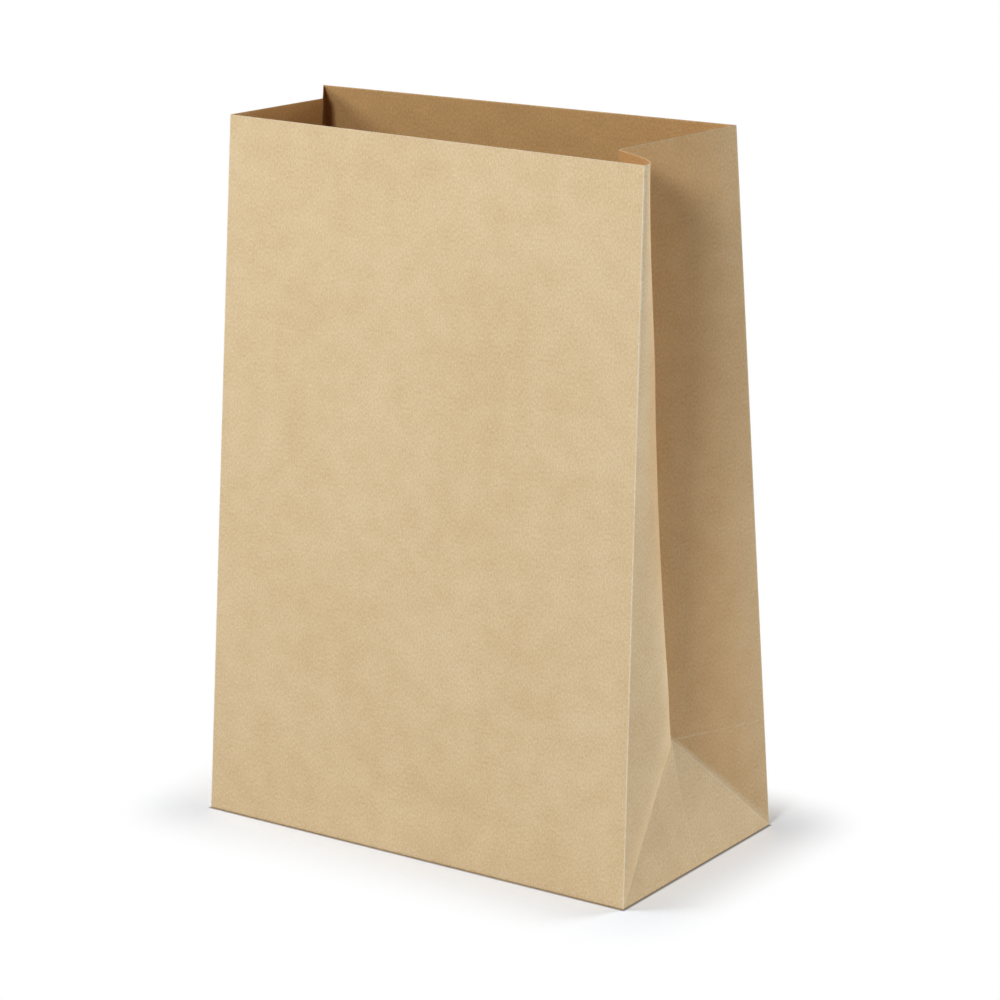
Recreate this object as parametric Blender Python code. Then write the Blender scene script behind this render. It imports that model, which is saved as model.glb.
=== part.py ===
"""Flat-bottom paper bag, folded from one sheet of kraft paper and glued, standing open.

The frame has its origin at the middle of the rectangular bottom, on the floor. X runs along
the front panel from left to right, Y runs from the front panel to the back one, Z is up.
"""
import math

import bpy
import numpy as np

# The sheet: sizes of the folded bag, measured along the paper, in metres
bottom_width = 0.260
bottom_depth = 0.130
sheet_height = 0.360
paper = 0.00015

# The mouth: how far each upper corner stands in from the corner below it
front_left_lean = 0.0418
front_right_lean = 0.0268
back_left_lean = 0.0126
back_right_lean = 0.0074
front_left_shift = 0.0027
front_right_shift = 0.0053
back_left_shift = 0.0016
back_right_shift = -0.0081
front_right_flare = 0.0016
flare_zone = 0.018

# The gussets: where each centre crease ends at the rim, how far it bows inwards and how much
# shorter that makes it from end to end, and the lean and valley of the bottom triangles
right_crease_inset = 0.0398
right_crease_shift = 0.0042
right_crease_bow = 0.0045
right_crease_slack = 0.0025
left_crease_inset = 0.0113
left_crease_shift = 0.0395
left_crease_bow = 0.0
left_crease_slack = 0.0
triangle_lean = math.radians(12.7)
triangle_valley = 0.0016

# The spring of the paper: how far each half gusset and each large panel bulges
right_front_bulge = 0.0095
right_back_bulge = 0.0015
left_front_bulge = 0.0020
left_back_bulge = 0.0080
front_belly = 0.0012
back_belly = 0.0015
rim_zone = 0.055
right_front_rim_zone = 0.024

# The glued seam along the back panel, and the flaps glued under the bottom
seam_width = 0.018
seam_offset = 0.052
seam_trim = 0.0003
flap_overlap = 0.020

# The mesh: facets across a half gusset and a panel, and up the wall above the triangles
gusset_facets = 10
panel_facets = 12
wall_facets = 20

half_depth = bottom_depth / 2
half_width = bottom_width / 2
floor_of_sheet = 2 * paper
kraft_colour = (0.62, 0.45, 0.27, 1.0)


def rows_up_the_sheet():
    """Heights of the mesh rows, from the bottom fold to the rim.

    Below the apex of the bottom triangles the rows keep the spacing of the gusset's columns,
    so that the 45 degree creases run from one mesh corner to the next.
    """
    lower = np.linspace(0.0, half_depth, gusset_facets + 1)
    upper = np.linspace(half_depth, sheet_height, wall_facets + 1)
    return np.concatenate([lower, upper[1:]])


def smooth(share):
    """Smooth step: 0 below 0, 1 above 1, level at both ends."""
    share = np.clip(share, 0.0, 1.0)
    return share * share * (3.0 - 2.0 * share)


def corner_crease(side, front, lean, shift, flare, height):
    """A corner crease: a straight line as long as the sheet is high, from a bottom corner.

    At the rim the paper may flare sideways from that line.
    """
    rise = math.sqrt(sheet_height ** 2 - lean ** 2 - shift ** 2)
    share = height / sheet_height
    near_rim = smooth(1.0 - (sheet_height - height) / flare_zone)
    x = side * half_width + shift * share + flare * near_rim
    y = -front * (half_depth - lean * share)
    return np.stack([x, y, floor_of_sheet + rise * share], axis=-1)


def spring(height, fading):
    """How much of its full bulge the paper has at a height: none at the fold and at the rim."""
    rise = smooth(height / (1.6 * half_depth))
    fade = smooth((sheet_height - height) / fading)
    return rise * fade


def gusset(side, front_crease, back_crease, centre_crease, front_bulge, back_bulge,
           front_rim_zone, height):
    """One gusset as a grid: rows up the sheet, columns from the front corner to the back one.

    The bottom triangle leans in from the bottom fold and is pressed into a shallow valley
    along its middle. Each half gusset is ruled from its corner crease to the 45 degree
    crease below the apex and to the centre crease above it, and bulges between them by a
    half sine wave. The centre crease bows inwards by another.
    """
    across = np.linspace(0.0, bottom_depth, 2 * gusset_facets + 1)
    up, over = np.meshgrid(height, across, indexing="ij")
    in_front = over <= half_depth
    from_corner = np.where(in_front, over, bottom_depth - over)
    corner = np.where(in_front[..., None], front_crease[:, None, :], back_crease[:, None, :])

    lean_in = math.sin(triangle_lean)
    lean_up = math.cos(triangle_lean)
    apex = np.array([side * (half_width - half_depth * lean_in), 0.0,
                     floor_of_sheet + half_depth * lean_up])
    inset, shift, bow, slack = centre_crease
    run_x = side * (half_width - inset) - apex[0]
    run_z = math.sqrt((sheet_height - half_depth - slack) ** 2 - run_x ** 2 - shift ** 2)
    run = np.array([run_x, shift, run_z])

    reach = np.minimum(up, half_depth)
    diagonal_y = np.where(in_front, reach - half_depth, half_depth - reach)
    diagonal = np.stack([side * (half_width - reach * lean_in), diagonal_y,
                         floor_of_sheet + reach * lean_up], axis=-1)
    above = np.clip((up - half_depth) / (sheet_height - half_depth), 0.0, 1.0)
    fold = diagonal + above[..., None] * run
    fold[..., 0] -= side * bow * np.sin(math.pi * above)

    share = np.clip(from_corner / np.maximum(reach, 1e-9), 0.0, 1.0)
    chord = fold - corner
    turn = side * np.where(in_front, 1.0, -1.0)
    outward = np.stack([turn * chord[..., 1], -turn * chord[..., 0], np.zeros_like(up)], axis=-1)
    length = np.linalg.norm(outward, axis=-1, keepdims=True)
    outward = outward / np.maximum(length, 1e-9)
    front_swell = front_bulge * spring(up, front_rim_zone)
    back_swell = back_bulge * spring(up, rim_zone)
    bulge = np.where(in_front, front_swell, back_swell) * np.sin(math.pi * share)
    half_panel = corner + share[..., None] * chord + bulge[..., None] * outward

    inside = (from_corner - up) / np.maximum(half_depth - up, 1e-9)
    rounding = np.sin(math.pi * np.clip(up / half_depth, 0.0, 1.0))
    valley = triangle_valley * rounding * np.clip(inside, 0.0, 1.0)
    triangle = np.stack([side * (half_width - up * lean_in - valley), over - half_depth,
                         floor_of_sheet + up * lean_up], axis=-1)
    return np.where((from_corner > up)[..., None], triangle, half_panel)


def panel(left_crease, right_crease, columns, belly, facing, height):
    """A large panel as a grid, ruled between its corner creases, with a slight belly."""
    across = columns[None, :, None]
    flat = left_crease[:, None, :] * (1.0 - across) + right_crease[:, None, :] * across
    swell = belly * spring(height, rim_zone)[:, None] * np.sin(math.pi * columns)[None, :]
    flat[..., 1] += facing * swell
    return flat


def seam_columns():
    """Columns of the back panel, from right to left, with the seam's two edges among them."""
    near = 0.5 - (seam_offset + seam_width / 2) / bottom_width
    far = 0.5 - (seam_offset - seam_width / 2) / bottom_width
    right_of_seam = max(1, round(near * panel_facets))
    left_of_seam = panel_facets - right_of_seam
    right_part = np.linspace(0.0, near, right_of_seam + 1)
    left_part = np.linspace(far, 1.0, left_of_seam + 1)
    return np.concatenate([right_part, left_part]), right_of_seam


def folded_sheet():
    """The outer face of the wall as one ring of columns, and the back panel's own grid."""
    height = rows_up_the_sheet()
    front_left = corner_crease(-1, 1, front_left_lean, front_left_shift, 0.0, height)
    front_right = corner_crease(1, 1, front_right_lean, front_right_shift,
                                front_right_flare, height)
    back_left = corner_crease(-1, -1, back_left_lean, back_left_shift, 0.0, height)
    back_right = corner_crease(1, -1, back_right_lean, back_right_shift, 0.0, height)
    front_columns = np.linspace(0.0, 1.0, panel_facets + 1)
    back_columns, seam_start = seam_columns()

    front = panel(front_left, front_right, front_columns, front_belly, -1.0, height)
    right_centre = (right_crease_inset, right_crease_shift, right_crease_bow, right_crease_slack)
    left_centre = (left_crease_inset, left_crease_shift, left_crease_bow, left_crease_slack)
    right = gusset(1, front_right, back_right, right_centre,
                   right_front_bulge, right_back_bulge, right_front_rim_zone, height)
    back = panel(back_right, back_left, back_columns, back_belly, 1.0, height)
    left = gusset(-1, front_left, back_left, left_centre,
                  left_front_bulge, left_back_bulge, rim_zone, height)[:, ::-1]
    strips = [front, right, back, left]
    ring = np.concatenate([strip[:, :-1] for strip in strips], axis=1)
    return ring, [strip.shape[1] - 1 for strip in strips], back, seam_start


def ring_faces(rows, strip_sizes):
    """Triangles between the rows of the ring, split along the 45 degree creases of a gusset."""
    count = sum(strip_sizes)
    faces = []
    start = 0
    for strip, size in enumerate(strip_sizes):
        for row in range(rows - 1):
            for column in range(size):
                a = row * count + start + column
                b = row * count + (start + column + 1) % count
                c = b + count
                d = a + count
                if strip % 2 == 1 and column >= gusset_facets:
                    faces += [(a, b, d), (b, c, d)]
                else:
                    faces += [(a, b, c), (a, c, d)]
        start += size
    return faces


def new_object(name, points, faces):
    """A mesh object in the scene from plain lists of points and faces."""
    mesh = bpy.data.meshes.new(name)
    mesh.from_pydata([tuple(point) for point in points], [], faces)
    mesh.validate()
    thing = bpy.data.objects.new(name, mesh)
    bpy.context.scene.collection.objects.link(thing)
    return thing


def kraft_paper():
    """Brown kraft paper, matt and slightly warm."""
    material = bpy.data.materials.new("kraft_paper")
    material.use_nodes = True
    shader = material.node_tree.nodes["Principled BSDF"]
    shader.inputs["Base Color"].default_value = kraft_colour
    shader.inputs["Roughness"].default_value = 0.85
    shader.inputs["Metallic"].default_value = 0.0
    return material


def prism(name, outline, bottom, top):
    """An upright prism over an outline given anticlockwise, as seen from above."""
    count = len(outline)
    points = [(x, y, bottom) for x, y in outline] + [(x, y, top) for x, y in outline]
    faces = [tuple(reversed(range(count))), tuple(range(count, 2 * count))]
    for index in range(count):
        following = (index + 1) % count
        faces.append((index, following, following + count, index + count))
    return new_object(name, points, faces)


def bottom_flap(name, facing, level):
    """A long bottom flap: a trapezoid with corners cut at 45 degrees, past the middle line.

    Its fold lies half a paper thickness inside the wall, as the paper turns round there.
    """
    turn = paper / 2
    flap_depth = half_depth + flap_overlap / 2
    near = facing * (half_depth - turn)
    far = facing * (half_depth - flap_depth)
    long_side = half_width - turn
    short_side = half_width - flap_depth
    outline = [(-long_side, near), (-short_side, far), (short_side, far), (long_side, near)]
    if facing < 0:
        outline.reverse()
    return prism(name, outline, level, floor_of_sheet + paper / 2)


def seam_strip(back, seam_start):
    """The second layer of paper where the sheet's edges overlap, along the back panel."""
    middle = back[:, seam_start:seam_start + 2]
    along = middle[1:] - middle[:-1]
    along = np.concatenate([along, along[-1:]])
    across = middle[:, 1:2] - middle[:, 0:1]
    outward = np.cross(np.broadcast_to(across, along.shape), along)
    outward /= np.linalg.norm(outward, axis=-1, keepdims=True)
    up_the_sheet = along / np.linalg.norm(along, axis=-1, keepdims=True)
    middle[0] += up_the_sheet[0] * seam_trim
    middle[-1] -= up_the_sheet[-1] * seam_trim
    outer = middle + outward * paper
    inner = middle - outward * paper / 2
    section = np.stack([inner[:, 0], inner[:, 1], outer[:, 1], outer[:, 0]], axis=1)
    rows = len(section)
    faces = [(0, 1, 2, 3), tuple(4 * (rows - 1) + side for side in (3, 2, 1, 0))]
    for row in range(rows - 1):
        for side in range(4):
            a = 4 * row + side
            b = 4 * row + (side + 1) % 4
            faces += [(a, a + 4, b + 4), (a, b + 4, b)]
    return new_object("seam_layer", section.reshape(-1, 3), faces)


def glue_on(bag, layer):
    """Unite a glued layer of the same sheet with the bag."""
    layer.hide_render = True
    layer.display_type = "WIRE"
    union = bag.modifiers.new(layer.name, "BOOLEAN")
    union.operation = "UNION"
    union.solver = "EXACT"
    union.object = layer


def paper_bag():
    """The bag: the folded wall and the bottom sheet, thickened, with the glued layers on."""
    ring, strip_sizes, back, seam_start = folded_sheet()
    rows, count = ring.shape[:2]
    faces = ring_faces(rows, strip_sizes)
    faces.append(tuple(reversed(range(count))))
    bag = new_object("paper_bag", ring.reshape(-1, 3), faces)
    bag.data.materials.append(kraft_paper())

    thickness = bag.modifiers.new("paper", "SOLIDIFY")
    thickness.thickness = paper
    thickness.offset = -1.0
    thickness.use_even_offset = True
    thickness.use_rim = True

    glue_on(bag, bottom_flap("back_flap", 1, paper))
    glue_on(bag, bottom_flap("front_flap", -1, 0.0))
    glue_on(bag, seam_strip(back, seam_start))
    return bag


for thing in list(bpy.data.objects):
    bpy.data.objects.remove(thing, do_unlink=True)
paper_bag()
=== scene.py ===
"""Flat-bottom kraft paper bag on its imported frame: the folded sheet, its finish and the studio."""
import math

import bpy
import numpy as np
from mathutils import Matrix, Vector


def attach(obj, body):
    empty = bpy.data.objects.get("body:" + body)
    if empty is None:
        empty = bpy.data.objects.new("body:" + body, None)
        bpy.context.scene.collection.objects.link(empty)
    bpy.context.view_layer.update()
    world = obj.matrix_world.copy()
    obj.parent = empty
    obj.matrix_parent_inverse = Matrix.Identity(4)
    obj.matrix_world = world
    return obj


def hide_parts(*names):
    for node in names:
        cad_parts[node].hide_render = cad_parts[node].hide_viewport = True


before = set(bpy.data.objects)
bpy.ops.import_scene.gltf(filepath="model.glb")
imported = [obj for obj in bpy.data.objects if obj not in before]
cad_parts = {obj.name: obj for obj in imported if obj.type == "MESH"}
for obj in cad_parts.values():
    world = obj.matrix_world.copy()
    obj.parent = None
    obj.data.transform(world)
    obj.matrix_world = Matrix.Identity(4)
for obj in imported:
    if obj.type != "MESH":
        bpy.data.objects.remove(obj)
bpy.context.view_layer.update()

# The wall of the bag. The real piece is one sheet of uncoated brown kraft paper, rolled into
# a tube, folded flat with a gusset in each side and opened out again. Its creases stay sharp,
# and the paper springs back into shallow curves between them.
millimetre = 0.001
bottom_width = 260 * millimetre
bottom_depth = 130 * millimetre
sheet_height = 360 * millimetre
paper = 0.15 * millimetre
half_width = bottom_width / 2
half_depth = bottom_depth / 2
floor_of_sheet = 2 * paper

front_left_lean, front_left_shift = 41.8 * millimetre, 2.7 * millimetre
front_right_lean, front_right_shift = 26.8 * millimetre, 3.8 * millimetre
back_left_lean, back_left_shift = 12.6 * millimetre, 1.6 * millimetre
back_right_lean, back_right_shift = 7.4 * millimetre, -8.1 * millimetre
right_crease_inset, right_crease_shift = 39.8 * millimetre, 4.2 * millimetre
right_crease_bow, right_crease_slack = 4.5 * millimetre, 2.5 * millimetre
left_crease_inset, left_crease_shift = 11.3 * millimetre, 39.5 * millimetre
triangle_lean = math.radians(12.7)
triangle_valley = 1.6 * millimetre

right_front_bulge = 9.5 * millimetre
right_back_bulge = 1.5 * millimetre
left_front_bulge = 2.0 * millimetre
left_back_bulge = 8.0 * millimetre
front_belly = 1.2 * millimetre
back_belly = 1.5 * millimetre
spring_zone = 1.6 * half_depth
rim_zone = 55 * millimetre
right_front_rim_zone, right_front_at_rim = 110 * millimetre, 0.55
right_front_skew, skew_zone = 0.55, 170 * millimetre
pucker_depth, pucker_reach = 0.7 * millimetre, 3.5 * millimetre
packing_crease = 57 * millimetre
packing_dent, packing_reach, packing_fade = 0.5 * millimetre, 14 * millimetre, 12 * millimetre

gusset_columns = 36
panel_columns = 80
wall_rows = 98


def graded(start, end, count, grip=0.7):
    """Positions from start to end: an even run less a full sine wave, so closer at both ends."""
    share = np.linspace(0.0, 1.0, count + 1)
    return start + (end - start) * (share - grip * np.sin(2 * math.pi * share) / (2 * math.pi))


def smooth(share):
    """Smooth step: three squares less two cubes of the share, held between 0 and 1."""
    share = np.clip(share, 0.0, 1.0)
    return share * share * (3.0 - 2.0 * share)


def spring(height, fading, at_rim=0.0):
    """Share of its full bulge that the paper has at a height: none at the fold, some at the rim."""
    near_rim = smooth((sheet_height - height) / fading)
    return smooth(height / spring_zone) * (at_rim + (1.0 - at_rim) * near_rim)


def corner_crease(side, front, lean, shift, height):
    """A corner crease: a straight line as long as the sheet is high, leaning in by lean and shift."""
    rise = math.sqrt(sheet_height ** 2 - lean ** 2 - shift ** 2)
    share = height / sheet_height
    return np.stack([side * half_width + shift * share,
                     -front * (half_depth - lean * share), floor_of_sheet + rise * share], axis=-1)


def packing_line(from_corner):
    """Height of the crease left on the gussets where the bottom was folded up against the back.

    It is level on the back panel, and rises evenly to the apex on the back half of a gusset.
    """
    return packing_crease + (half_depth - packing_crease) * np.minimum(from_corner / half_depth, 1.0)


def packing_valley(up, line, from_corner):
    """Depth of that crease: a shallow V along its line, which fades out at the corner creases."""
    off = np.abs(up - line) / packing_reach
    return packing_dent * np.clip(1.0 - off, 0.0, 1.0) * smooth(from_corner / packing_fade)


def panel(left_crease, right_crease, columns, belly, facing, height):
    """A large panel: straight from one corner crease to the other, plus half a sine wave.

    The back panel, which faces +Y, has the packing crease as well.
    """
    across = columns[None, :, None]
    sheet = left_crease[:, None, :] * (1.0 - across) + right_crease[:, None, :] * across
    sheet[..., 1] += facing * belly * spring(height, rim_zone)[:, None] * np.sin(math.pi * columns)
    if facing > 0:
        from_corner = bottom_width * np.minimum(columns, 1.0 - columns)
        sheet[..., 1] -= packing_valley(height[:, None], packing_crease, from_corner[None, :])
    return sheet


def gusset(side, front_crease, back_crease, centre_crease, front_bulge, back_bulge,
           front_spring, front_skew, height, across):
    """A gusset: straight from a corner crease to the fold, plus half a sine wave outwards.

    On the front half the wave runs over a power of the share. A skew below 1 is that power at
    the rim and sets the crest nearer the corner crease; it goes to 1 over the skew zone.

    The fold is the 45 degree crease below the apex of the bottom triangle and the centre
    crease above it, which bows inwards by half a sine wave. The triangle is a plane through
    the bottom fold that leans in, less a valley along its middle. A dent like a bell curve
    puckers the paper at the apex.
    """
    up, over = np.meshgrid(height, across, indexing="ij")
    in_front = over <= half_depth
    from_corner = np.where(in_front, over, bottom_depth - over)
    corner = np.where(in_front[..., None], front_crease[:, None, :], back_crease[:, None, :])
    lean_in, lean_up = math.sin(triangle_lean), math.cos(triangle_lean)
    apex_x = side * (half_width - half_depth * lean_in)
    inset, shift, bow, slack = centre_crease
    run_x = side * (half_width - inset) - apex_x
    run_z = math.sqrt((sheet_height - half_depth - slack) ** 2 - run_x ** 2 - shift ** 2)
    reach = np.minimum(up, half_depth)
    diagonal_y = np.where(in_front, reach - half_depth, half_depth - reach)
    diagonal = np.stack([side * (half_width - reach * lean_in), diagonal_y,
                         floor_of_sheet + reach * lean_up], axis=-1)
    above = np.clip((up - half_depth) / (sheet_height - half_depth), 0.0, 1.0)
    fold = diagonal + above[..., None] * np.array([run_x, shift, run_z])
    fold[..., 0] -= side * bow * np.sin(math.pi * above)

    share = np.clip(from_corner / np.maximum(reach, 1e-9), 0.0, 1.0)
    chord = fold - corner
    turn = side * np.where(in_front, 1.0, -1.0)
    outward = np.stack([turn * chord[..., 1], -turn * chord[..., 0], np.zeros_like(up)], axis=-1)
    outward /= np.maximum(np.linalg.norm(outward, axis=-1, keepdims=True), 1e-9)
    power = front_skew + (1.0 - front_skew) * smooth((sheet_height - up) / skew_zone)
    front_swell = front_bulge * spring(up, *front_spring) * np.sin(math.pi * share ** power)
    back_swell = back_bulge * spring(up, rim_zone) * np.sin(math.pi * share)
    bulge = np.where(in_front, front_swell, back_swell)
    crease_dent = packing_valley(up, packing_line(from_corner), from_corner)
    bulge -= np.where(in_front, 0.0, crease_dent) * (1.0 - share ** 4)
    half_panel = corner + share[..., None] * chord + bulge[..., None] * outward

    inside = np.clip((from_corner - up) / np.maximum(half_depth - up, 1e-9), 0.0, 1.0)
    valley = triangle_valley * inside * np.sin(math.pi * np.clip(up / half_depth, 0.0, 1.0))
    triangle = np.stack([side * (half_width - up * lean_in - valley), over - half_depth,
                         floor_of_sheet + up * lean_up], axis=-1)
    surface = np.where((from_corner > up)[..., None], triangle, half_panel)
    from_apex = np.hypot(over - half_depth, up - half_depth)
    surface[..., 0] -= side * pucker_depth * np.exp(-(from_apex / pucker_reach) ** 2)
    return surface


lower_rows = graded(0.0, half_depth, gusset_columns)
upper_rows = graded(half_depth, sheet_height, wall_rows)
height = np.concatenate([lower_rows, upper_rows[1:]])
gusset_across = np.concatenate([lower_rows, bottom_depth - lower_rows[-2::-1]])
panel_across = graded(0.0, 1.0, panel_columns)

front_left = corner_crease(-1, 1, front_left_lean, front_left_shift, height)
front_right = corner_crease(1, 1, front_right_lean, front_right_shift, height)
back_left = corner_crease(-1, -1, back_left_lean, back_left_shift, height)
back_right = corner_crease(1, -1, back_right_lean, back_right_shift, height)
strips = [
    panel(front_left, front_right, panel_across, front_belly, -1.0, height),
    gusset(1, front_right, back_right,
           (right_crease_inset, right_crease_shift, right_crease_bow, right_crease_slack),
           right_front_bulge, right_back_bulge, (right_front_rim_zone, right_front_at_rim),
           right_front_skew, height, gusset_across),
    panel(back_right, back_left, panel_across, back_belly, 1.0, height),
    gusset(-1, front_left, back_left, (left_crease_inset, left_crease_shift, 0.0, 0.0),
           left_front_bulge, left_back_bulge, (rim_zone,), 1.0, height, gusset_across)[:, ::-1],
]
strip_widths = [panel_across * bottom_width, gusset_across,
                panel_across * bottom_width, gusset_across]
far_away = 1.0
front_depth_zone, back_depth_zone = 200 * millimetre, 6 * millimetre
back_corner_depth = 0.4


def crease_distances(strip, across, up):
    """Distances along the flat sheet to the creases, as columns for one strip of the ring.

    They are to the nearest corner crease, to a gusset's centre crease, to its 45 degree
    creases, to the packing crease and to the rim. The last column is how deep a point lies
    in a folded gusset, from 0 on the bottom triangle and the panels to 1 at the centre crease;
    it is the mask of the shade painted into the paper there.
    On the front half it rises from the corner crease to half way in, and up the sheet above
    the triangle. On the back half, which the front half covers when flat, it starts higher at
    the corner crease and rises just above the 45 degree crease.
    """
    up, over = np.meshgrid(up, across, indexing="ij")
    from_corner = np.minimum(over, across[-1] - over)
    nowhere = np.full_like(up, far_away)
    packing = np.abs(up - packing_line(from_corner))
    depth = np.zeros_like(up)
    if strip == 0:
        spans = [from_corner, nowhere, nowhere, nowhere]
    elif strip == 2:
        spans = [from_corner, nowhere, nowhere, np.abs(up - packing_crease)]
    else:
        behind = over >= half_depth if strip == 1 else over <= half_depth
        diagonal = np.abs(from_corner - up) / math.sqrt(2)
        spans = [from_corner, half_depth - from_corner, diagonal,
                 np.where(behind & (from_corner < up + 1e-6), packing, far_away)]
        in_front = np.minimum(2 * from_corner / half_depth, 1.0)
        in_front *= smooth((up - half_depth) / front_depth_zone)
        at_back = back_corner_depth + (1.0 - back_corner_depth) * from_corner / half_depth
        at_back *= smooth((up - from_corner) / back_depth_zone)
        depth = np.where(behind, at_back, in_front)
    return np.stack(spans + [sheet_height - up, depth], axis=-1)


distance_names = ["from_corner_crease", "from_centre_crease", "from_diagonal",
                  "from_packing_crease", "from_cut_edge", "depth_in_gusset"]


def paper_mesh(name, points, faces, flat, distances):
    """A mesh of points and faces, with its place on the flat sheet as UV map and attributes."""
    mesh = bpy.data.meshes.new(name)
    mesh.from_pydata(points.tolist(), [], faces)
    layer = mesh.uv_layers.new(name="flat_sheet")
    layer.uv.foreach_set("vector", flat.reshape(-1, 2).astype(np.float32).ravel())
    for column, label in enumerate(distance_names):
        attribute = mesh.attributes.new(label, "FLOAT", "POINT")
        attribute.data.foreach_set("value", distances[:, column].astype(np.float32))
    piece = bpy.data.objects.new(name, mesh)
    bpy.context.scene.collection.objects.link(piece)
    return piece


def tube(strips, strip_widths, height):
    """Points, triangles, flat positions and crease distances of the ring of strips.

    Each cell of the grid becomes two triangles, split along the 45 degree creases in the
    gussets. The flat position is the distance round the tube and the height up the sheet.
    """
    ring = np.concatenate([strip[:, :-1] for strip in strips], axis=1)
    spans = [crease_distances(index, widths, height)[:, :-1]
             for index, widths in enumerate(strip_widths)]
    rows, count = ring.shape[:2]
    starts = np.cumsum([0.0] + [widths[-1] for widths in strip_widths])
    edges = np.concatenate([widths[:-1] + start for widths, start in zip(strip_widths, starts)]
                           + [starts[-1:]])
    row, column = np.meshgrid(np.arange(rows - 1), np.arange(count), indexing="ij")
    a = row * count + column
    b = row * count + (column + 1) % count
    corners = np.stack([a, b, b + count, a + count], axis=-1)
    across = np.stack([edges[column], edges[column + 1], edges[column + 1], edges[column]], axis=-1)
    upward = np.stack([height[row], height[row], height[row + 1], height[row + 1]], axis=-1)
    flat = np.stack([across, upward], axis=-1)
    falling = np.zeros(count, dtype=bool)
    start = 0
    for index, strip in enumerate(strips):
        size = strip.shape[1] - 1
        falling[start + size // 2:start + size] = index % 2 == 1
        start += size
    split = np.where(falling[:, None], [0, 1, 3, 1, 2, 3], [0, 1, 2, 0, 2, 3])[None]
    split = np.broadcast_to(split, (rows - 1, count, 6))
    faces = np.take_along_axis(corners, split, axis=-1).reshape(-1, 3)
    flat = np.take_along_axis(flat, split[..., None], axis=-2).reshape(-1, 3, 2)
    distances = np.concatenate(spans, axis=1).reshape(-1, len(distance_names))
    return ring.reshape(-1, 3), faces.tolist(), flat, distances


crease_angle = math.radians(16)
wall = paper_mesh("kraft_wall", *tube(strips, strip_widths, height))
wall.data.shade_smooth()
wall.data.set_sharp_from_angle(angle=crease_angle)
thickness = wall.modifiers.new("paper", "SOLIDIFY")
thickness.thickness = paper
thickness.offset = -1.0
thickness.use_even_offset = True
thickness.material_offset = 1


def linear(code):
    """Linear colour of an sRGB hex code: the standard curve of each channel, with alpha 1."""
    channels = [int(code[i:i + 2], 16) / 255 for i in (1, 3, 5)]
    return [c / 12.92 if c <= 0.04045 else ((c + 0.055) / 1.055) ** 2.4 for c in channels] + [1.0]


def node(tree, kind, settings=(), links=()):
    """Adds one node: settings are (property or input, value), links are (input, source socket)."""
    new = tree.nodes.new(kind)
    for name, value in settings:
        if isinstance(name, str) and hasattr(new, name):
            setattr(new, name, value)
        else:
            new.inputs[name].default_value = value
    for name, source in links:
        tree.links.new(source, new.inputs[name])
    return new


cloud_size, drift_size = 14 * millimetre, 70 * millimetre
fibre_size, shive_spacing = 0.9 * millimetre, 11 * millimetre
break_size = 6 * millimetre
# The first colour is painted shade, multiplied in deep in each gusset; the second is the paper's own
# dark shives.
gusset_painted_shade, dark_shive = "#F2E4D2", "#7A5A34"
cockle_depth, nap_depth, ridge_height = 0.12 * millimetre, 0.012 * millimetre, 0.05 * millimetre
# Pale lines along the creases and the cut edge, as width and strength: fibres rubbed paler by handling
# and painted highlight.
wear_and_highlight_lines = [("from_corner_crease", 0.75 * millimetre, 0.75),
              ("from_centre_crease", 0.5 * millimetre, 0.35),
              ("from_diagonal", 0.6 * millimetre, 0.5),
              ("from_packing_crease", 0.8 * millimetre, 0.3),
              ("from_cut_edge", 0.45 * millimetre, 0.6)]


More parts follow.
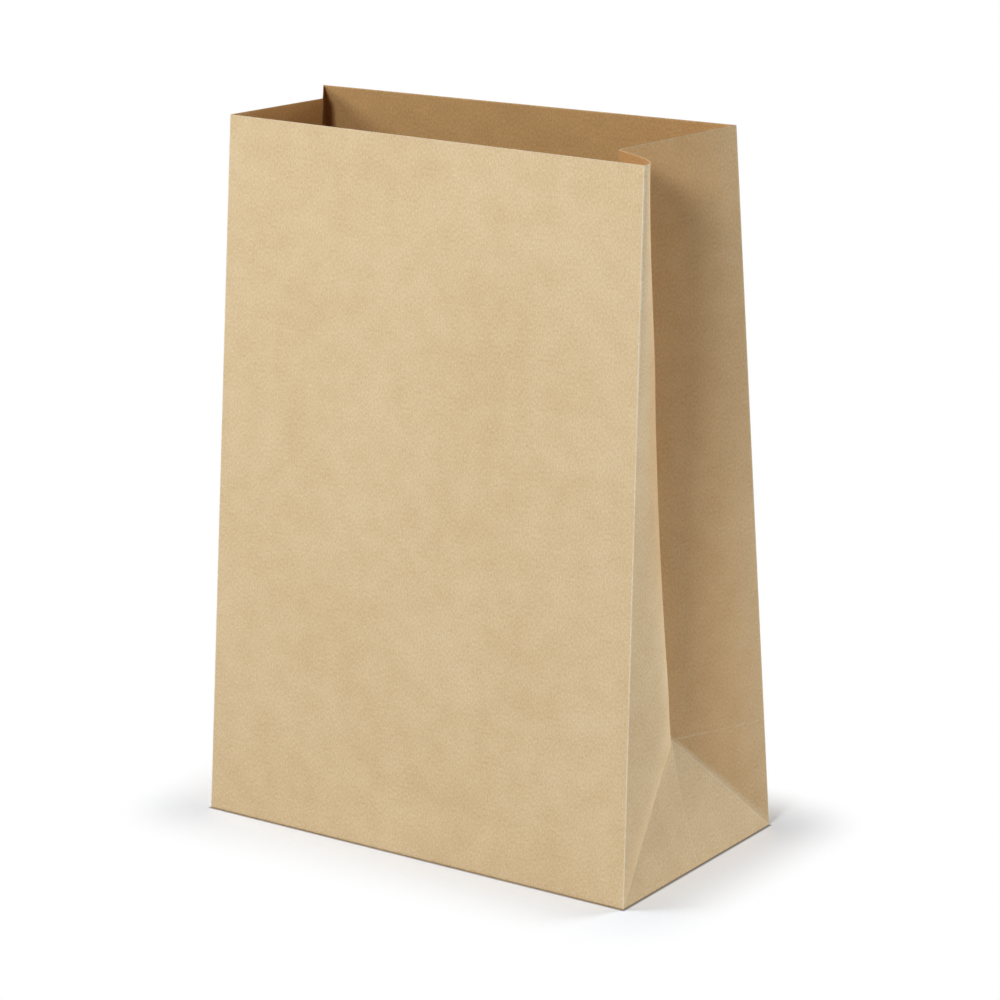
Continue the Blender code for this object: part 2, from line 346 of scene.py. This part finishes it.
def kraft_paper(name, thin, dense, dark_fibre, pale_fibre, pale_shive_wear_and_highlight, roughness):
    """Unbleached kraft paper: matt, cloudy where the pulp lies thicker, flecked with short fibres.

    The machine glazing leaves only a dull sheen. A pale line under a millimetre wide, in bits,
    runs along the creases and the cut edge: partly fibres rubbed paler by handling and partly
    a painted highlight where light would catch a rounded crease or the edge.
    """
    material = bpy.data.materials.new(name)
    material.use_nodes = True
    tree = material.node_tree
    shader = tree.nodes["Principled BSDF"]
    shader.inputs["Roughness"].default_value = roughness
    shader.inputs["IOR"].default_value = 1.5
    shader.inputs["Specular IOR Level"].default_value = 0.3
    place = node(tree, "ShaderNodeUVMap", [("uv_map", "flat_sheet")]).outputs["UV"]

    # Pulp clouds about 14 mm across, within a slower drift of tone about 70 mm across.
    cloud = node(tree, "ShaderNodeTexNoise", [("Scale", 1 / cloud_size), ("Detail", 4.0),
                                              ("Roughness", 0.55)], [("Vector", place)])
    drift = node(tree, "ShaderNodeTexNoise", [("Scale", 1 / drift_size), ("Detail", 1.0)],
                 [("Vector", place)])
    density = node(tree, "ShaderNodeMix", [("data_type", "FLOAT"), (0, 0.4)],
                   [(2, cloud.outputs["Fac"]), (3, drift.outputs["Fac"])])
    thickness_share = node(tree, "ShaderNodeMapRange", [("From Min", 0.37), ("From Max", 0.63)],
                           [("Value", density.outputs[0])])
    tone = node(tree, "ShaderNodeMix", [("data_type", "RGBA"), (6, linear(thin)), (7, linear(dense))],
                [(0, thickness_share.outputs["Result"])])

    # Tufts of fibre 0.9 mm wide and 1.5 mm long, lying along the tube, coarser than real ones.
    lengthwise = node(tree, "ShaderNodeMapping", [("Scale", (1.0, 0.6, 1.0))], [("Vector", place)])
    fibre = node(tree, "ShaderNodeTexNoise", [("Scale", 1 / fibre_size), ("Detail", 3.0),
                                              ("Roughness", 0.75)],
                 [("Vector", lengthwise.outputs["Vector"])])
    fibre_share = node(tree, "ShaderNodeMapRange", [("From Min", 0.34), ("From Max", 0.66)],
                       [("Value", fibre.outputs["Fac"])])
    fibre_tone = node(tree, "ShaderNodeMix", [("data_type", "RGBA"), (6, linear(dark_fibre)),
                                              (7, linear(pale_fibre))],
                      [(0, fibre_share.outputs["Result"])])
    grained = node(tree, "ShaderNodeMix", [("data_type", "RGBA"), (0, 0.4)],
                   [(6, tone.outputs[2]), (7, fibre_tone.outputs[2])])

    # Deep in a gusset the photograph shows a browner sheet than lamps give, so it is tinted there.
    # Painted shade: this browner tint stands in for shade deep in the folds and is not the paper's own
    # colour.
    depth = node(tree, "ShaderNodeAttribute", [("attribute_name", "depth_in_gusset")])
    painted_shade_share = node(tree, "ShaderNodeMapRange", [("interpolation_type", "SMOOTHSTEP"),
                                                 ("From Min", 0.1), ("From Max", 0.75)],
                    [("Value", depth.outputs["Fac"])])
    painted_gusset_shade = node(tree, "ShaderNodeMix", [("data_type", "RGBA"), ("blend_type", "MULTIPLY"),
                                          (7, linear(gusset_painted_shade))],
                  [(0, painted_shade_share.outputs["Result"]), (6, grained.outputs[2])])

    # Shives, dark or pale splinters up to a millimetre, in about one of three cells of 11 mm.
    cell = node(tree, "ShaderNodeTexVoronoi", [("Scale", 1 / shive_spacing)], [("Vector", place)])
    splinter = node(tree, "ShaderNodeMapRange", [("From Min", 0.02), ("From Max", 0.045),
                                                 ("To Min", 1.0), ("To Max", 0.0)],
                    [("Value", cell.outputs["Distance"])])
    pick = node(tree, "ShaderNodeSeparateColor", [], [("Color", cell.outputs["Color"])])
    chosen = node(tree, "ShaderNodeMath", [("operation", "GREATER_THAN"), (1, 0.62)],
                  [(0, pick.outputs["Red"])])
    shown = node(tree, "ShaderNodeMath", [("operation", "MULTIPLY")],
                 [(0, splinter.outputs["Result"]), (1, chosen.outputs["Value"])])
    shive_strength = node(tree, "ShaderNodeMath", [("operation", "MULTIPLY"), (1, 0.5)],
                          [(0, shown.outputs["Value"])])
    dark_or_pale = node(tree, "ShaderNodeMath", [("operation", "GREATER_THAN"), (1, 0.45)],
                        [(0, pick.outputs["Green"])])
    shive_tone = node(tree, "ShaderNodeMix", [("data_type", "RGBA"), (6, linear(pale_shive_wear_and_highlight)),
                                              (7, linear(dark_shive))],
                      [(0, dark_or_pale.outputs["Value"])])
    flecked = node(tree, "ShaderNodeMix", [("data_type", "RGBA")],
                   [(0, shive_strength.outputs["Value"]), (6, painted_gusset_shade.outputs[2]),
                    (7, shive_tone.outputs[2])])

    # Pale lines along the creases and the cut edge, strongest at the corners, split up over
    # about 6 mm: partly fibres rubbed paler by handling, partly painted highlight.
    breaks = node(tree, "ShaderNodeTexNoise", [("Scale", 1 / break_size), ("Detail", 3.0),
                                               ("Roughness", 0.7)], [("Vector", place)])
    wander = node(tree, "ShaderNodeMapRange", [("From Min", 0.25), ("From Max", 0.7),
                                               ("To Min", 0.35), ("To Max", 1.0)],
                  [("Value", breaks.outputs["Fac"])])
    wear_and_highlight_mask = None
    for label, width, strength in wear_and_highlight_lines:
        distance = node(tree, "ShaderNodeAttribute", [("attribute_name", label)])
        line = node(tree, "ShaderNodeMapRange", [("interpolation_type", "SMOOTHSTEP"),
                                                 ("From Min", 0.0), ("From Max", width),
                                                 ("To Min", strength), ("To Max", 0.0)],
                    [("Value", distance.outputs["Fac"])])
        if wear_and_highlight_mask is None:
            wear_and_highlight_mask = line.outputs["Result"]
        else:
            wear_and_highlight_mask = node(tree, "ShaderNodeMath", [("operation", "MAXIMUM")],
                        [(0, wear_and_highlight_mask), (1, line.outputs["Result"])]).outputs["Value"]
    broken = node(tree, "ShaderNodeMath", [("operation", "MULTIPLY")],
                  [(0, wear_and_highlight_mask), (1, wander.outputs["Result"])])
    paper_with_wear_and_highlight = node(tree, "ShaderNodeMix", [("data_type", "RGBA"), (7, linear(pale_shive_wear_and_highlight))],
                      [(0, broken.outputs["Value"]), (6, flecked.outputs[2])])
    tree.links.new(paper_with_wear_and_highlight.outputs[2], shader.inputs["Base Color"])

    # Relief in metres: slow cockling of the sheet, the fibres, and the ridge of each crease.
    cockle = node(tree, "ShaderNodeMath", [("operation", "MULTIPLY"), (1, cockle_depth)],
                  [(0, density.outputs[0])])
    nap = node(tree, "ShaderNodeMath", [("operation", "MULTIPLY_ADD"), (1, nap_depth)],
               [(0, fibre.outputs["Fac"]), (2, cockle.outputs["Value"])])
    ridge = node(tree, "ShaderNodeMath", [("operation", "MULTIPLY_ADD"), (1, ridge_height)],
                 [(0, broken.outputs["Value"]), (2, nap.outputs["Value"])])
    relief = node(tree, "ShaderNodeBump", [("Strength", 1.0), ("Distance", 1.0)],
                  [("Height", ridge.outputs["Value"])])
    tree.links.new(relief.outputs["Normal"], shader.inputs["Normal"])
    return material


# The glazed outer face is smoother and paler. The inner face is rougher, and its darker, browner
# colours are partly its own and partly painted shade, since it is seen only inside the bag.
outer_face = kraft_paper("glazed_kraft_paper", "#D2B385", "#DEC397", "#C39A64", "#EBDAB8",
                         "#F0E4CC", 0.78)
inner_face = kraft_paper("unglazed_kraft_paper", "#BE9059", "#CC9F66", "#A97C44", "#DCB883",
                         "#DEC79E", 0.9)
wall.data.materials.append(outer_face)
wall.data.materials.append(inner_face)
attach(wall, "root")

# The seam. The sheet's two edges overlap up the back panel and are glued, so a second layer
# of the same paper lies on the panel there, as wide as the overlap.
seam_width = 18 * millimetre
seam_offset = 52 * millimetre
seam_trim = 0.3 * millimetre
seam_patch = 1.0
seam_columns = 8
seam_rows = height[(height > seam_trim) & (height < sheet_height - seam_trim)]
seam_rows = np.concatenate([[seam_trim], seam_rows, [sheet_height - seam_trim]])


def seam_layer():
    """The back panel's own surface between the seam's two edges, on the same rows of the sheet.

    Its flat positions are moved on by the seam patch, to another stretch of the paper's pattern.
    """
    near = 0.5 - (seam_offset + seam_width / 2) / bottom_width
    across = near + np.linspace(0.0, seam_width / bottom_width, seam_columns + 1)
    right_edge = corner_crease(1, -1, back_right_lean, back_right_shift, seam_rows)
    left_edge = corner_crease(-1, -1, back_left_lean, back_left_shift, seam_rows)
    sheet = panel(right_edge, left_edge, across, back_belly, 1.0, seam_rows)
    rows, count = sheet.shape[:2]
    row, column = np.meshgrid(np.arange(rows - 1), np.arange(count - 1), indexing="ij")
    a = row * count + column
    faces = np.stack([a, a + 1, a + count + 1, a + count], axis=-1).reshape(-1, 4)
    up, over = np.meshgrid(seam_rows, across * bottom_width, indexing="ij")
    flat = np.stack([over + seam_patch, up], axis=-1).reshape(-1, 2)
    from_side = np.minimum(over - over[:, :1], over[:, -1:] - over)
    nowhere = np.full_like(up, far_away)
    edge = np.minimum(from_side, sheet_height - up)
    distances = np.stack([nowhere, nowhere, nowhere, np.abs(up - packing_crease), edge,
                          np.zeros_like(up)], axis=-1)
    return sheet.reshape(-1, 3), faces.tolist(), flat[faces], distances.reshape(-1, len(distance_names))


seam = paper_mesh("seam_layer", *seam_layer())
seam.data.shade_smooth()
layer = seam.modifiers.new("paper", "SOLIDIFY")
layer.thickness = paper
layer.offset = 1.0
seam.data.materials.append(outer_face)
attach(seam, "root")

# The bottom. The lower ends of the tube are folded over each other and glued: the two ends
# of the gussets first, as triangles, then the long flap of the back panel and last that of
# the front panel. It is the same sheet, so its outer face shows below and its inner face above.
flap_overlap = 20 * millimetre
bottom_patch = -2.0


def bottom_layer(name, outline, level, cut_line):
    """One flat layer of the bottom: an upright prism over its outline, one paper thick.

    Its underside is the sheet's outer face. The distance to its cut edge is measured across
    the bag.
    """
    count = len(outline)
    corners = np.array(outline)
    low = np.column_stack([corners, np.full(count, level)])
    high = np.column_stack([corners, np.full(count, level + paper)])
    ring = np.arange(count)
    sides = np.column_stack([ring, (ring + 1) % count, (ring + 1) % count + count, ring + count])
    faces = [ring[::-1].tolist(), (ring + count).tolist()] + sides.tolist()
    flat = np.concatenate([corners, corners])[np.concatenate(faces)] + bottom_patch
    distances = np.full((2 * count, len(distance_names)), far_away)
    distances[:, -1] = 0.0
    if cut_line is not None:
        distances[:, -2] = np.abs(np.concatenate([corners, corners])[:, 1] - cut_line)
    piece = paper_mesh(name, np.concatenate([low, high]), faces, flat, distances)
    piece.data.materials.append(outer_face)
    piece.data.materials.append(inner_face)
    face_materials = np.ones(len(faces), dtype=np.int32)
    face_materials[0] = 0
    piece.data.polygons.foreach_set("material_index", face_materials)
    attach(piece, "root")
    return piece


def flap_outline(facing):
    """A long flap: a trapezoid from its bottom fold past the middle line, cut at 45 degrees."""
    depth = half_depth + flap_overlap / 2
    near, far = facing * half_depth, facing * (half_depth - depth)
    short = half_width - depth
    corners = [(-half_width, near), (-short, far), (short, far), (half_width, near)]
    return corners if facing > 0 else corners[::-1]


inset = 2 * paper
inner_width, inner_depth = half_width - inset, half_depth - inset
rectangle = [(-half_width, -half_depth), (half_width, -half_depth),
             (half_width, half_depth), (-half_width, half_depth)]
overlapping = [(-inner_width, -flap_overlap / 2), (inner_width, -flap_overlap / 2),
               (inner_width, inner_depth), (-inner_width, inner_depth)]
right_end = [(inner_width, -inner_depth), (inner_width, inner_depth), (inner_width - inner_depth, 0.0)]
left_end = [(-x, -y) for x, y in right_end]
bottom_layer("bottom_sheet", rectangle, floor_of_sheet, None)
bottom_layer("inner_flap", overlapping, floor_of_sheet + paper, -flap_overlap / 2)
bottom_layer("right_end_flap", right_end, floor_of_sheet + 2 * paper, None)
bottom_layer("left_end_flap", left_end, floor_of_sheet + 2 * paper, None)
bottom_layer("back_flap", flap_outline(1), paper, -flap_overlap / 2)
bottom_layer("front_flap", flap_outline(-1), 0.0, flap_overlap / 2)
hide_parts("paper_bag")

# The studio: a plain white floor, soft light from large boxes, and the camera of the photograph.
camera_azimuth = math.radians(36.957)
camera_elevation = math.radians(16.569)
camera_roll = math.radians(-2.0)
camera_distance = 1.8986
camera_aim = np.array([0.01217, 0.00466, 0.16994])
camera_lens = 136.92

back = np.array([math.sin(camera_azimuth) * math.cos(camera_elevation),
                 -math.cos(camera_azimuth) * math.cos(camera_elevation), math.sin(camera_elevation)])
level_right = np.array([math.cos(camera_azimuth), math.sin(camera_azimuth), 0.0])
level_up = np.cross(back, level_right)
right = math.cos(camera_roll) * level_right + math.sin(camera_roll) * level_up
up = np.cross(back, right)
lens = bpy.data.cameras.new("camera")
lens.lens = camera_lens
lens.sensor_width = 36.0
camera = bpy.data.objects.new("camera", lens)
bpy.context.scene.collection.objects.link(camera)
turn = np.eye(4)
turn[:3, 0], turn[:3, 1], turn[:3, 2] = right, up, back
turn[:3, 3] = camera_aim + back * camera_distance
camera.matrix_world = Matrix(turn.tolist())
bpy.context.scene.camera = camera

floor_reach = 6.0
floor_tone = (1.03, 1.04, 1.06, 1.0)
shadow_far = 50 * millimetre
# Width of the painted contact shadow round the bag, and the floor's tone at its darkest.
contact_shadow_width, contact_shadow_tone = 2.0 * millimetre, 0.3
floor_mesh = bpy.data.meshes.new("floor")
floor_corners = [(-floor_reach, -floor_reach, 0), (floor_reach, -floor_reach, 0),
                 (floor_reach, floor_reach, 0), (-floor_reach, floor_reach, 0)]
floor_mesh.from_pydata(floor_corners, [], [(0, 1, 2, 3)])
floor = bpy.data.objects.new("floor", floor_mesh)
bpy.context.scene.collection.objects.link(floor)


def seen_directly(tree):
    """1 for rays that show the surface itself, in view, mirrored or through glass, and else 0."""
    path = node(tree, "ShaderNodeLightPath")
    mirrored = node(tree, "ShaderNodeMath", [("operation", "MAXIMUM")],
                    [(0, path.outputs["Is Glossy Ray"]), (1, path.outputs["Is Transmission Ray"])])
    seen = node(tree, "ShaderNodeMath", [("operation", "MAXIMUM")],
                [(0, path.outputs["Is Camera Ray"]), (1, mirrored.outputs["Value"])])
    return seen.outputs["Value"]


def white_paper_floor():
    """Matt white background paper that takes the bag's shadow.

    Seen directly its tone is above 1, brighter than real paper, as if overexposed; what it
    throws on the bag is the light of white paper. Away from the bag it is seen as plain white,
    however the light falls on it. A painted contact shadow, a dark line 2 mm wide, runs round
    the bag, for the slit where rounded bottom folds would lift off the paper.
    """
    material = bpy.data.materials.new("white_background_paper")
    material.use_nodes = True
    tree = material.node_tree
    shader = tree.nodes["Principled BSDF"]
    shader.inputs["Roughness"].default_value = 1.0
    shader.inputs["Specular IOR Level"].default_value = 0.0
    seen = seen_directly(tree)
    tone = node(tree, "ShaderNodeMix", [("data_type", "RGBA"), (6, linear("#F0F0F0")),
                                        (7, floor_tone)], [(0, seen)])
    place = node(tree, "ShaderNodeTexCoord").outputs["Object"]
    side = node(tree, "ShaderNodeVectorMath", [("operation", "ABSOLUTE")], [(0, place)])
    beyond = node(tree, "ShaderNodeVectorMath", [("operation", "SUBTRACT"),
                                                 (1, (half_width, half_depth, 0.0))],
                  [(0, side.outputs["Vector"])])
    clear = node(tree, "ShaderNodeVectorMath", [("operation", "MAXIMUM"), (1, (0.0, 0.0, 0.0))],
                 [(0, beyond.outputs["Vector"])])
    away = node(tree, "ShaderNodeVectorMath", [("operation", "LENGTH")], [(0, clear.outputs["Vector"])])
    # Painted contact shadow: the floor's tone darkens towards the bag's foot.
    painted_contact_shadow = node(tree, "ShaderNodeMapRange", [("interpolation_type", "SMOOTHSTEP"),
                                               ("From Min", 0.0), ("From Max", contact_shadow_width),
                                               ("To Min", contact_shadow_tone), ("To Max", 1.0)],
                  [("Value", away.outputs["Value"])])
    under = node(tree, "ShaderNodeVectorMath", [("operation", "SCALE")],
                 [(0, tone.outputs[2]), ("Scale", painted_contact_shadow.outputs["Result"])])
    tree.links.new(under.outputs["Vector"], shader.inputs["Base Color"])
    blank = node(tree, "ShaderNodeMapRange", [("interpolation_type", "SMOOTHSTEP"),
                                              ("From Min", 0.0), ("From Max", shadow_far)],
                 [("Value", away.outputs["Value"])])
    share = node(tree, "ShaderNodeMath", [("operation", "MULTIPLY")],
                 [(0, blank.outputs["Result"]), (1, seen)])
    white = node(tree, "ShaderNodeEmission", [("Color", (1.0, 1.0, 1.0, 1.0)), ("Strength", 1.0)])
    mixed = node(tree, "ShaderNodeMixShader", [],
                 [("Fac", share.outputs["Value"]), (1, shader.outputs["BSDF"]),
                  (2, white.outputs["Emission"])])
    tree.links.new(mixed.outputs["Shader"], tree.nodes["Material Output"].inputs["Surface"])
    return material


floor_mesh.materials.append(white_paper_floor())


lamp_aim = Vector((0.0, 0.0, 0.15))
lamp_distance = 2.2


def soft_box(name, azimuth, elevation, size, watts, colour):
    """A square area lamp that faces the bag, in a direction from it that is given in degrees."""
    level = math.cos(math.radians(elevation))
    away = Vector((math.cos(math.radians(azimuth)) * level, math.sin(math.radians(azimuth)) * level,
                   math.sin(math.radians(elevation))))
    lamp = bpy.data.lights.new(name, "AREA")
    lamp.shape = "SQUARE"
    lamp.size = size
    lamp.energy = watts
    lamp.color = colour
    box = bpy.data.objects.new(name, lamp)
    box.location = lamp_aim + lamp_distance * away
    box.rotation_euler = (-away).to_track_quat("-Z", "Y").to_euler()
    bpy.context.scene.collection.objects.link(box)


cool_white = (0.914, 0.952, 1.0)
soft_box("left_front", -150, 35, 0.9, 26.0, cool_white)
soft_box("front", -77, 32, 0.5, 21.5, cool_white)
soft_box("left", 180, 15, 0.9, 14.0, cool_white)
soft_box("right_back_low", 55, 12, 0.9, 29.0, cool_white)
soft_box("right_back_high", 60, 35, 0.9, 7.0, cool_white)
soft_box("right_fill", -25, 12, 0.9, 3.2, cool_white)


world = bpy.data.worlds.new("studio")
bpy.context.scene.world = world
world.use_nodes = True
sky = world.node_tree.nodes["Background"]
sky.inputs["Color"].default_value = (1.0, 1.0, 1.0, 1.0)
world.node_tree.links.new(seen_directly(world.node_tree), sky.inputs["Strength"])
bpy.context.scene.view_settings.view_transform = "Standard"
